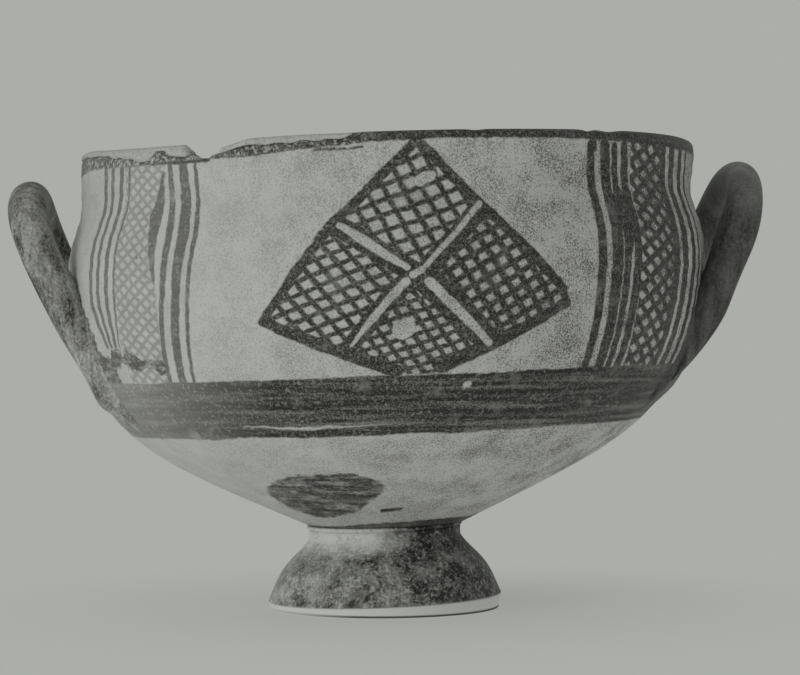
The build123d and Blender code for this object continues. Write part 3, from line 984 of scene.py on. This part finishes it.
# Places along the wall between which the edge of the lip's band changes
FRONT_CHANGE = (-34.0, -8.0)
RIGHT_CHANGE = (40.0, 105.0)
LEFT_CHANGE = (-98.0, -60.0)
HANDLE_CHANGE = (-126.0, -104.0)
NOTCH_ALONG = -50.0
OVER_THE_RIM = 122.0
JOIN_RING = 23.8
RING_WORN = 1.4
RING_CHANGE = (-24.0, 2.0)

past_notch = add(wall, "Math", (along, NOTCH_ALONG), operation="GREATER_THAN")
right_edge = add(wall, "MapRange", (along, *FRONT_CHANGE, LIP_BAND_FRONT, LIP_BAND))
right_edge = add(wall, "Mix", (past_notch, OVER_THE_RIM, right_edge), data_type="FLOAT")
right_drop = add(wall, "MapRange", (along, *RIGHT_CHANGE, 0.0, LIP_BAND_RIGHT_DROP))
right_edge = add(wall, "Math", (right_edge, right_drop), operation="SUBTRACT")
left_edge = add(wall, "MapRange", (along, *LEFT_CHANGE, *LIP_BAND_LEFT))
at_handle = (LIP_BAND - LIP_BAND_RIGHT_DROP, LIP_BAND_LEFT[0])
handle_edge = add(wall, "MapRange", (along, *HANDLE_CHANGE, *at_handle))
left_edge = joined(wall, [left_edge, handle_edge], "MINIMUM")
left_edge = add(wall, "Mix", (past_notch, left_edge, OVER_THE_RIM), data_type="FLOAT")
ring_edge = add(wall, "MapRange", (x, *RING_CHANGE, JOIN_RING - RING_WORN, JOIN_RING))
band_bottom = add(wall, "Math", (height, BAND[0]), operation="SUBTRACT")
band_top = add(wall, "Math", (BAND[1], height), operation="SUBTRACT")
dark_reaches.append(joined(wall, [band_bottom, band_top], "MINIMUM"))
for lower, upper in ((right_edge, height), (left_edge, height), (height, ring_edge)):
    dark_reaches.append(add(wall, "Math", (upper, lower), operation="SUBTRACT"))
print("the broad band is", round(BAND[1] - BAND[0], 1), "mm high")

# %% [markdown]
# Below the band the clay was left bare, apart from a long splash of slip and a short dash. The splash is a
# tilted ellipse: the place is measured from its middle in half widths, so that the ellipse becomes a
# circle.

# %% The splash and the small marks
SPLASH_MIDDLE = (-39.0, 31.8)
SPLASH_HALF = (32.0, 5.9)
SPLASH_TILT = 0.07
SMALL_MARKS = (
    (((-8.5, 27.2), (5.0, 27.6)), (0.5, 0.4)),
    (((50.7, 116.0), (51.2, 113.6)), (1.3, 0.8)),
    (((-22.0, 114.7), (-10.0, 114.8)), (0.35, 0.3)),
)
WORN_STREAKS = (
    (((-47.0, 50.4), (-25.0, 49.8), (-3.0, 50.2)), (0.1, 0.4, 0.0)),
    (((15.6, 59.0), (16.4, 59.2)), (0.7, 0.7)),
    (((3.5, 106.6), (6.5, 107.6)), (1.3, 1.0)),
)

dark_reaches += stroke_reaches(wall, unrolled, SMALL_MARKS)
bare_reaches.append(front_only(stroke_reaches(wall, unrolled, WORN_STREAKS)))
offset = add(wall, "VectorMath", (unrolled, (*SPLASH_MIDDLE, 0.0)), operation="SUBTRACT")
across = add(wall, "SeparateXYZ", (offset,))
tilted = add(wall, "Math", (across, -SPLASH_TILT, across.node.outputs["Y"]), operation="MULTIPLY_ADD")
offset = add(wall, "CombineXYZ", (across, tilted))
in_halves = (1 / SPLASH_HALF[0], 1 / SPLASH_HALF[1], 0.0)
offset = add(wall, "VectorMath", (offset, in_halves), operation="MULTIPLY")
splash = add(wall, "VectorMath", (offset,), operation="LENGTH")
splash = add(wall, "Math", (splash, -SPLASH_HALF[1], SPLASH_HALF[1]), operation="MULTIPLY_ADD")
splash = front_only([splash])
print("dark, faint and bare marks:", len(dark_reaches), len(faint_reaches), len(bare_reaches))

# %% [markdown]
# The reaches now become a coverage from 0 to 1, with the soft edge that wet slip leaves on dry clay. The
# splash and the smears were wiped on, so a noise makes their edges ragged and a second one, drawn out along
# the turn of the wheel, scratches them. The reserved clay is taken away last.

# %% Paint on the clay
EDGE_SOFTNESS = 0.28
FAINT_COVER = 0.85
WORN_COVER = 0.45
SCUFF_SIZE = 7.0
SPLASH_RAGGED = 2.5
SMEAR_RAGGED = 12.0
SCRATCH_LENGTH = 5.0
SCRATCH_SIZE = 1.6
# From one level of the noise to another, and the cover that is left at either
SCRATCHED = (0.48, 0.66, 1.0, 0.2)


def covered(tree, reaches):
    """Coverage from 0 to 1 with a soft edge."""
    reach = joined(tree, reaches)
    return add(tree, "MapRange", (reach, -EDGE_SOFTNESS, EDGE_SOFTNESS), interpolation_type="SMOOTHSTEP")


def drawn_out(tree, place, length, size, detail, roughness):
    """A noise drawn out along the turn of the wheel: a length round the cup and a size up and down it."""
    scale = (1 / length, 1 / length, 1 / size)
    stretched = add(tree, "VectorMath", (place, scale), operation="MULTIPLY")
    noise = {"Vector": stretched, "Scale": 1.0, "Detail": detail, "Roughness": roughness}
    return add(tree, "TexNoise", noise)


def left_over(tree, cover, taken):
    """The cover that is left where a share of it is taken away."""
    kept = add(tree, "Math", (1.0, taken), operation="SUBTRACT")
    return add(tree, "Math", (cover, kept), operation="MULTIPLY")


scuff = add(wall, "TexNoise", {"Vector": place, "Scale": 1 / SCUFF_SIZE, "Detail": 6.0, "Roughness": 0.65})
ragged = add(wall, "Math", (scuff, 0.5), operation="SUBTRACT")
smears = add(wall, "Math", (ragged, SMEAR_RAGGED, smears), operation="MULTIPLY_ADD")
splash = add(wall, "Math", (ragged, SPLASH_RAGGED, splash), operation="MULTIPLY_ADD")
scratch = drawn_out(wall, place, SCRATCH_LENGTH, SCRATCH_SIZE, detail=5.0, roughness=0.7)
scratched = add(wall, "MapRange", (scratch, *SCRATCHED))
covers = [covered(wall, dark_reaches)]
shared = ((faint_reaches, FAINT_COVER), (worn_reaches, WORN_COVER), ([splash, smears], scratched))
for reaches, share in shared:
    covers.append(add(wall, "Math", (covered(wall, reaches), share), operation="MULTIPLY"))
cover = left_over(wall, joined(wall, covers), covered(wall, bare_reaches))
print("kinds of paint on the wall:", len(covers))

# %% [markdown]
# Paint wears off in scuffs and in pits, and on the left the whole wall is rubbed. Beside the plaster the
# lip's band is so worn that only a stipple of it is left. Each kind of wear is a noise at its own size, and
# the strongest of them takes away its share of the paint.

# %% Wear of the paint
PIT_SIZE = 0.9
STIPPLE_SIZE = 1.2
# From one level of a noise to another, and the share of paint that is lost at either
SCUFFED = (0.58, 0.72, 0.0, 0.4)
PITTED = (0.55, 0.75, 0.0, 0.45)
STIPPLED = (0.5, 0.6, 0.0, 0.85)
# The stipple begins and is full at these heights and places along the wall
STIPPLE_HEIGHTS = (114.4, 115.0)
STIPPLE_FRONT = (-4.0, -16.0)
STIPPLE_HANDLE = (-118.0, -104.0)
RUBBED = (-78.0, -30.0, 1.0, 0.0)
RUBBED_BELOW = 0.62
RUBBED_ABOVE = 0.2
BAND_EDGE_SOFTNESS = 0.5
BAND_EDGE = (BAND[1] - BAND_EDGE_SOFTNESS, BAND[1] + BAND_EDGE_SOFTNESS)

pit = add(wall, "TexNoise", {"Vector": place, "Scale": 1 / PIT_SIZE, "Detail": 3.0})
stipple = add(wall, "TexNoise", {"Vector": place, "Scale": 1 / STIPPLE_SIZE, "Detail": 4.0, "Roughness": 0.7})
scuffed, pitted, stippled = (
    add(wall, "MapRange", (noise, *levels))
    for noise, levels in ((scuff, SCUFFED), (pit, PITTED), (stipple, STIPPLED))
)
stipple_limits = [
    add(wall, "MapRange", (where, *limits))
    for where, limits in ((height, STIPPLE_HEIGHTS), (along, STIPPLE_FRONT), (along, STIPPLE_HANDLE))
]
stippled = joined(wall, [stippled, *stipple_limits, in_front], "MINIMUM")
rubbed = add(wall, "MapRange", (x, *RUBBED))
rub_depth = add(wall, "MapRange", (height, *BAND_EDGE, RUBBED_BELOW, RUBBED_ABOVE))
rubbed = add(wall, "Math", (rubbed, rub_depth), operation="MULTIPLY")
worn = joined(wall, [scuffed, pitted, stippled])
worn = add(wall, "Math", (worn, rubbed), operation="ADD", use_clamp=True)
cover = left_over(wall, cover, worn)
print("scuffs of about", SCUFF_SIZE, "mm and pits of about", PIT_SIZE, "mm")

# %% [markdown]
# Under the paint the clay is pale and dull, with a fine dark speckle that grows stronger to the right and a
# few larger flecks. Its grit is finer than a pixel here, so the speckle is drawn coarser than the real
# grains to show at all.

# %% Bare clay
CLAY_PALE = "#babcb6"
CLAY_DULL = "#a8aaa4"
CLAY_SPECK = "#484944"
SPECK_SIZE = 0.38
CLOUD_SIZE = 9.0
CLOUD_SHARE = 0.5
FLECK_SIZE = 2.4
# Levels of the dirt between which a speck begins and is full
SPECKED = (0.7, 0.88)
# From the left to the right of the cup, and the strength of the speckle at either
SPECK_SPREAD = (-50.0, 60.0, 0.25, 1.0)
FLECKED = (0.665, 0.715, 0.0, 0.8)

clay = add(wall, "Mix", (scuff, linear(CLAY_PALE), linear(CLAY_DULL)), data_type="RGBA")
grain = add(wall, "TexNoise", {"Vector": place, "Scale": 1 / SPECK_SIZE, "Detail": 3.0, "Roughness": 0.6})
cloud = add(wall, "TexNoise", {"Vector": place, "Scale": 1 / CLOUD_SIZE, "Detail": 4.0, "Roughness": 0.7})
dirt = add(wall, "Math", (cloud, CLOUD_SHARE, grain), operation="MULTIPLY_ADD")
speck = add(wall, "MapRange", (dirt, *SPECKED))
speck_share = add(wall, "MapRange", (x, *SPECK_SPREAD))
speck = add(wall, "Math", (speck, speck_share), operation="MULTIPLY")
fleck = add(wall, "TexNoise", {"Vector": place, "Scale": 1 / FLECK_SIZE, "Detail": 5.0, "Roughness": 0.75})
fleck = add(wall, "MapRange", (fleck, *FLECKED))
speck = add(wall, "Math", (speck, fleck), operation="MAXIMUM")
clay = add(wall, "Mix", (speck, clay, linear(CLAY_SPECK)), data_type="RGBA")
print("specks of about", SPECK_SIZE, "mm and flecks of about", FLECK_SIZE, "mm")

# %% [markdown]
# The paint is a thin clay slip that fired dark. It went on in streaks along the turn of the wheel, plainest
# on the broad band, and it shows the clay where it is thin. Slip is smoother than bare clay, so it catches
# a little more of the light.

# %% The painted wall's material
SLIP_THICK = "#272824"
SLIP_THIN = "#74756f"
STREAK_LENGTH = 26.0
STREAK_SIZE = 1.1
STREAKS_ON_BAND = 0.75
STREAKS_ABOVE = 0.25
# Levels of streak and grain together between which the slip turns from thick to thin
THINNED = (0.97, 1.22)
CLAY_ROUGHNESS = 0.85
SLIP_ROUGHNESS = 0.5
WALL_GRAIN = 0.05

streak = drawn_out(wall, place, STREAK_LENGTH, STREAK_SIZE, detail=3.0, roughness=0.5)
streak_share = add(wall, "MapRange", (height, *BAND_EDGE, STREAKS_ON_BAND, STREAKS_ABOVE))
streak = add(wall, "Mix", (streak_share, 0.5, streak), data_type="FLOAT")
thinness = add(wall, "Math", (streak, grain), operation="ADD")
thinness = add(wall, "MapRange", (thinness, *THINNED))
slip = add(wall, "Mix", (thinness, linear(SLIP_THICK), linear(SLIP_THIN)), data_type="RGBA")
colour = add(wall, "Mix", (cover, clay, slip), data_type="RGBA")
roughness = add(wall, "MapRange", (cover, 0.0, 1.0, CLAY_ROUGHNESS, SLIP_ROUGHNESS))
dull_surface(wall, colour, roughness, grain, WALL_GRAIN)
bowl.data.materials.append(painted_clay)
print("the painted wall has", len(wall.nodes), "nodes")

# %% [markdown]
# Slipped clay covers the handles, the foot and the inside of the bowl: the same dark slip, put on all over
# by dipping and then worn. Wear could be painted by hand, but a noise at the size of the real blotches
# gives it everywhere at once. Wear differs from left to right, and more of it may show near a tip or on the
# neck.

# %% How slip wears
BLOTCH_SIZE = 6.0
BLOTCH_SHARE = 1.1
GRIT_SIZE = 0.7
GRIT_SHARE = 0.4
CHIP_SIZE = 1.0
CHIPPED = (0.58, 0.63)
# Levels of wear up to which the slip is sound and from which the clay is bare
SOUND_SLIP = 0.6
BARE_CLAY = 1.5
LEFT_TO_RIGHT = (-30.0, 30.0)
TIP_WEAR = 0.2
# From the middle of the neck to its left, and the wear at either
NECK_WEAR = (5.0, -4.0, -0.15, 0.5)


def expected_wear(tree, x, height, wear, pale_tip, pale_neck):
    """Wear from the left to the right of a piece, with more at a pale tip or neck between two heights."""
    level = add(tree, "MapRange", (x, *LEFT_TO_RIGHT, *wear))
    if pale_tip:
        tip = add(tree, "MapRange", (height, *pale_tip, 0.0, TIP_WEAR))
        level = add(tree, "Math", (level, tip), operation="ADD")
    if pale_neck:
        neck = add(tree, "MapRange", (height, *pale_neck))
        neck_wear = add(tree, "MapRange", (x, *NECK_WEAR))
        level = add(tree, "Math", (neck, neck_wear, level), operation="MULTIPLY_ADD")
    return level


def bare_share(tree, place, grit, level, patchy, chips, drawn):
    """How bare the clay is, with blotches drawn out along the height and small sharp chips."""
    drawn_place = add(tree, "VectorMath", (place, (1.0, 1.0, 1 / drawn)), operation="MULTIPLY")
    noise = {"Vector": drawn_place, "Scale": 1 / BLOTCH_SIZE, "Detail": 8.0, "Roughness": 0.78}
    blotch = add(tree, "TexNoise", noise)
    mottle = add(tree, "Math", (blotch, BLOTCH_SHARE), operation="MULTIPLY")
    mottle = add(tree, "Math", (grit, GRIT_SHARE, mottle), operation="MULTIPLY_ADD")
    level = add(tree, "Math", (mottle, patchy, level), operation="MULTIPLY_ADD")
    shift = (BLOTCH_SHARE + GRIT_SHARE) / 2 * (patchy - 1)
    bare = add(tree, "MapRange", (level, SOUND_SLIP + shift, BARE_CLAY + shift))
    chip = add(tree, "TexNoise", {"Vector": place, "Scale": 1 / CHIP_SIZE, "Detail": 3.0})
    chipped = add(tree, "MapRange", (chip, *CHIPPED, 0.0, chips))
    return add(tree, "Math", (bare, chipped), operation="ADD", use_clamp=True)


print("blotches of about", BLOTCH_SIZE, "mm and chips of about", CHIP_SIZE, "mm")

# %% [markdown]
# One function makes the slip of every piece, so that all of them share the same dark tone. To the eye fired
# slip is a dull, uneven black that turns grey where it is thin. The foot's edge was wiped clean before
# firing. A painted shadow darkens its lowest edge on the right, where it meets the table, away from the lamp.

# %% Slipped clay
RESERVED_EDGE = 0.3
# A painted contact shadow at the foot's lowest edge: the heights over which it fades out, and from left to
# right where it begins and is full, with its strength at either
CONTACT_SHADOW_HEIGHTS = (0.35, 0.7)
CONTACT_SHADOW_SPREAD = (-30.0, -10.0, 0.0, 0.9)
SLIP_GRAIN = 0.06


def slipped_clay(name, wear, patchy, chips=0.0, drawn=1.0, reserved=None, pale_tip=None, pale_neck=None):
    """Dark slip that wear has thinned, evenly where patchy is small and in flecks where it is large. With a
    reserved edge it also gets a painted contact shadow along its lowest edge.
    """
    material, tree = new_tree(f"fired clay, dipped in dark slip: {name}")
    place, x, height = cup_place(tree)
    grit = add(tree, "TexNoise", {"Vector": place, "Scale": 1 / GRIT_SIZE, "Detail": 3.0})
    level = expected_wear(tree, x, height, wear, pale_tip, pale_neck)
    bare = bare_share(tree, place, grit, level, patchy, chips, drawn)
    if reserved:
        edge = (reserved - RESERVED_EDGE, reserved + RESERVED_EDGE)
        wiped = add(tree, "MapRange", (height, *edge, 1.0, 0.0))
        bare = add(tree, "Math", (bare, wiped), operation="MAXIMUM")
    colour = add(tree, "Mix", (bare, linear(SLIP_THICK), linear(CLAY_PALE)), data_type="RGBA")
    if reserved:
        # Painted contact shadow: the dark slip colour laid over the foot's lowest edge, strongest on the
        # right
        contact_shadow = add(tree, "MapRange", (x.node.outputs["Z"], *CONTACT_SHADOW_HEIGHTS, 1.0, 0.0))
        contact_shadow_share = add(tree, "MapRange", (x, *CONTACT_SHADOW_SPREAD))
        contact_shadow = add(tree, "Math", (contact_shadow, contact_shadow_share), operation="MULTIPLY")
        colour = add(tree, "Mix", (contact_shadow, colour, linear(SLIP_THICK)), data_type="RGBA")
    roughness = add(tree, "MapRange", (bare, 0.0, 1.0, SLIP_ROUGHNESS, CLAY_ROUGHNESS))
    dull_surface(tree, colour, roughness, grit, SLIP_GRAIN)
    return material


slips = {
    "inside": slipped_clay("inside", (0.03, 0.03), patchy=0.4),
    "left": slipped_clay("left handle", (0.15, 0.15), patchy=2.1, chips=0.06, drawn=3.0),
    "right": slipped_clay("right handle", (-0.04, -0.04), patchy=0.6, drawn=3.0, pale_tip=(98.0, 116.0)),
    "foot": slipped_clay(
        "foot", (0.26, -0.1), patchy=1.9, chips=0.3, reserved=2.76, pale_neck=(14.2, 16.8),
    ),
}
print("slips of dark clay:", list(slips))

# %% [markdown]
# Each slip now goes on its pieces. The bowl has two materials, so its faces are told apart by their row in
# the grid: the rows of the outside come first, and the two caps come last, that of the underside before
# that of the floor. The left handle has lost half of its slip, while the right one is nearly black.

# %% Slip on the pieces
UNDERSIDE_CAP = -2

bowl.data.materials.append(slips["inside"])
inside_faces = np.arange(len(bowl.data.polygons)) >= bowl_outside_rows * BOWL_COLUMNS
inside_faces[UNDERSIDE_CAP] = False
bowl.data.polygons.foreach_set("material_index", inside_faces.astype(np.int32))
for name, handle in handles.items():
    handle.data.materials.append(slips[name])
for luting in lutings:
    side = "left" if "left" in luting.name else "right"
    luting.data.materials.append(slips[side])
for piece in (foot, foot_luting):
    piece.data.materials.append(slips["foot"])
print("faces inside the bowl:", int(inside_faces.sum()))

# %% [markdown]
# The mender's plaster is a pale gypsum, rubbed down by hand. It has no sheen at all, and fine pores that
# are a tenth of a millimetre across on the real thing. They are drawn coarser so that they show.

# %% Plaster
PLASTER_PALE = "#a9aba5"
PLASTER_DUSTY = "#8a8c86"
PORE_SIZE = 0.8
DUSTY = (0.45, 0.75)
PLASTER_ROUGHNESS = 0.95
PLASTER_GRAIN = 0.02

plaster, tree = new_tree("gypsum plaster, rubbed down")
place = cup_place(tree)[0]
pore = add(tree, "TexNoise", {"Vector": place, "Scale": 1 / PORE_SIZE, "Detail": 3.0})
dust = add(tree, "MapRange", (pore, *DUSTY))
colour = add(tree, "Mix", (dust, linear(PLASTER_PALE), linear(PLASTER_DUSTY)), data_type="RGBA")
dull_surface(tree, colour, PLASTER_ROUGHNESS, pore, PLASTER_GRAIN)
for fill in fills:
    fill.data.materials.append(plaster)
print("plaster is on", [fill.name for fill in fills])

# %% [markdown]
# The cup stands on plain pale card. To the camera the card is an ordinary dull surface near the cup, so
# that it takes a shadow, mixed with an even tone that takes over farther off. The world shows the same
# tone, so that no horizon appears at the camera's low height. To the cup itself the card is an even glow
# from below, as a large bright table is: that is what lights the underside of the bowl.

# %% Floor
CARD = "#dfe2dd"
BACKDROP = "#abaea9"
WHITE = (1.0, 1.0, 1.0, 1.0)
FLOOR_HALF = 4.0
FLOOR_NEAR = 0.03
FLOOR_FAR = 0.15
FLOOR_LEAST = 0.6
FLOOR_GLOW = 0.68

floor_mesh = bpy.data.meshes.new("floor")
corner_sides = ((-1, -1), (1, -1), (1, 1), (-1, 1))
corners = [(right * FLOOR_HALF, back * FLOOR_HALF, 0.0) for right, back in corner_sides]
floor_mesh.from_pydata(corners, [], [(0, 1, 2, 3)])
floor = bpy.data.objects.new("floor", floor_mesh)
bpy.context.collection.objects.link(floor)


def backdrop_rays(tree):
    """1 for rays that look at the backdrop, directly or in a reflection, and 0 for rays that carry light."""
    rays = add(tree, "LightPath").node.outputs
    names = ("Is Camera Ray", "Is Glossy Ray", "Is Transmission Ray")
    return joined(tree, [rays[name] for name in names])


card, tree = new_tree("pale matt card")
distance = add(tree, "VectorMath", (add(tree, "TexCoord").node.outputs["Object"],), operation="LENGTH")
limits = (FLOOR_NEAR, FLOOR_FAR, FLOOR_LEAST, 1.0)
far = add(tree, "MapRange", (distance, *limits), interpolation_type="SMOOTHSTEP")
near_card = add(tree, "BsdfDiffuse", {"Color": linear(CARD)})
far_card = add(tree, "Emission", {"Color": linear(BACKDROP)})
seen_card = add(tree, "MixShader", (far, near_card, far_card))
glow = add(tree, "Emission", {"Color": WHITE, "Strength": FLOOR_GLOW})
shown = add(tree, "MixShader", (backdrop_rays(tree), glow, seen_card))
add(tree, "OutputMaterial", {"Surface": shown})
floor_mesh.materials.append(card)
print("the floor is", 2 * FLOOR_HALF, "m wide")

# %% [markdown]
# The world does two jobs, told apart by the kind of ray: it shows the backdrop's tone to the camera, and it
# gives the cup an even white light from all round. A Mix Shader chooses between two Background nodes.

# %% World
AMBIENT = 0.46

world = bpy.data.worlds.new("studio")
bpy.context.scene.world = world
world.use_nodes = True
tree = world.node_tree
tree.nodes.clear()
soft_light = add(tree, "Background", {"Color": WHITE, "Strength": AMBIENT})
backdrop = add(tree, "Background", {"Color": linear(BACKDROP), "Strength": 1.0})
shown = add(tree, "MixShader", (backdrop_rays(tree), soft_light, backdrop))
add(tree, "OutputWorld", {"Surface": shown})
print("backdrop tone", BACKDROP, "and ambient light", AMBIENT)

# %% [markdown]
# One large soft lamp on the left, a little in front and above, models the round of the bowl as daylight
# from a window would. Its power is worked out from its distance, so that together with the ambient light a
# surface that faces it shows about the colour that was written for it.

# %% Lamp
LAMP_PLACE = Vector((-1.4, -1.15, 0.3))
LAMP_SIZE = 1.2
LAMP_SHARE = 0.48
CUP_MIDDLE = Vector((0.0, 0.0, 0.065))

lamp_data = bpy.data.lights.new("window", "AREA")
lamp_data.shape = "SQUARE"
lamp_data.size = LAMP_SIZE
lamp_data.energy = LAMP_SHARE * math.pi ** 2 * (LAMP_PLACE - CUP_MIDDLE).length_squared
lamp = bpy.data.objects.new("window", lamp_data)
lamp.location = LAMP_PLACE
lamp.rotation_euler = (CUP_MIDDLE - LAMP_PLACE).to_track_quat("-Z", "Y").to_euler()
bpy.context.collection.objects.link(lamp)
print("the lamp gives", round(lamp_data.energy, 2), "watts")

# %% [markdown]
# The camera stands about 0.64 m in front of the cup, level with the middle of the bowl and a little to the
# left. Its place, the way it looks and its focal length were worked out from the outline of the cup.

# %% Camera
CAMERA_PLACE = Vector((-34.37, -641.85, 68.29)) * MILLIMETRE
CAMERA_RIGHT = Vector((0.99826, -0.05895, -0.00304))
CAMERA_UP = Vector((0.00282, -0.00393, 0.99999))
FOCAL_PIXELS = 2436.7
PICTURE_WIDTH = 800
SENSOR_WIDTH = 36.0

camera_data = bpy.data.cameras.new("camera")
camera_data.sensor_fit = "HORIZONTAL"
camera_data.sensor_width = SENSOR_WIDTH
camera_data.lens = FOCAL_PIXELS / PICTURE_WIDTH * SENSOR_WIDTH
camera = bpy.data.objects.new("camera", camera_data)
backward = CAMERA_RIGHT.cross(CAMERA_UP)
axes = Matrix((CAMERA_RIGHT, CAMERA_UP, backward)).transposed()
camera.matrix_world = Matrix.Translation(CAMERA_PLACE) @ axes.to_4x4()
bpy.context.collection.objects.link(camera)
bpy.context.scene.camera = camera
bpy.context.scene.view_settings.view_transform = "Standard"
print("the lens is", round(camera_data.lens, 1), "mm")
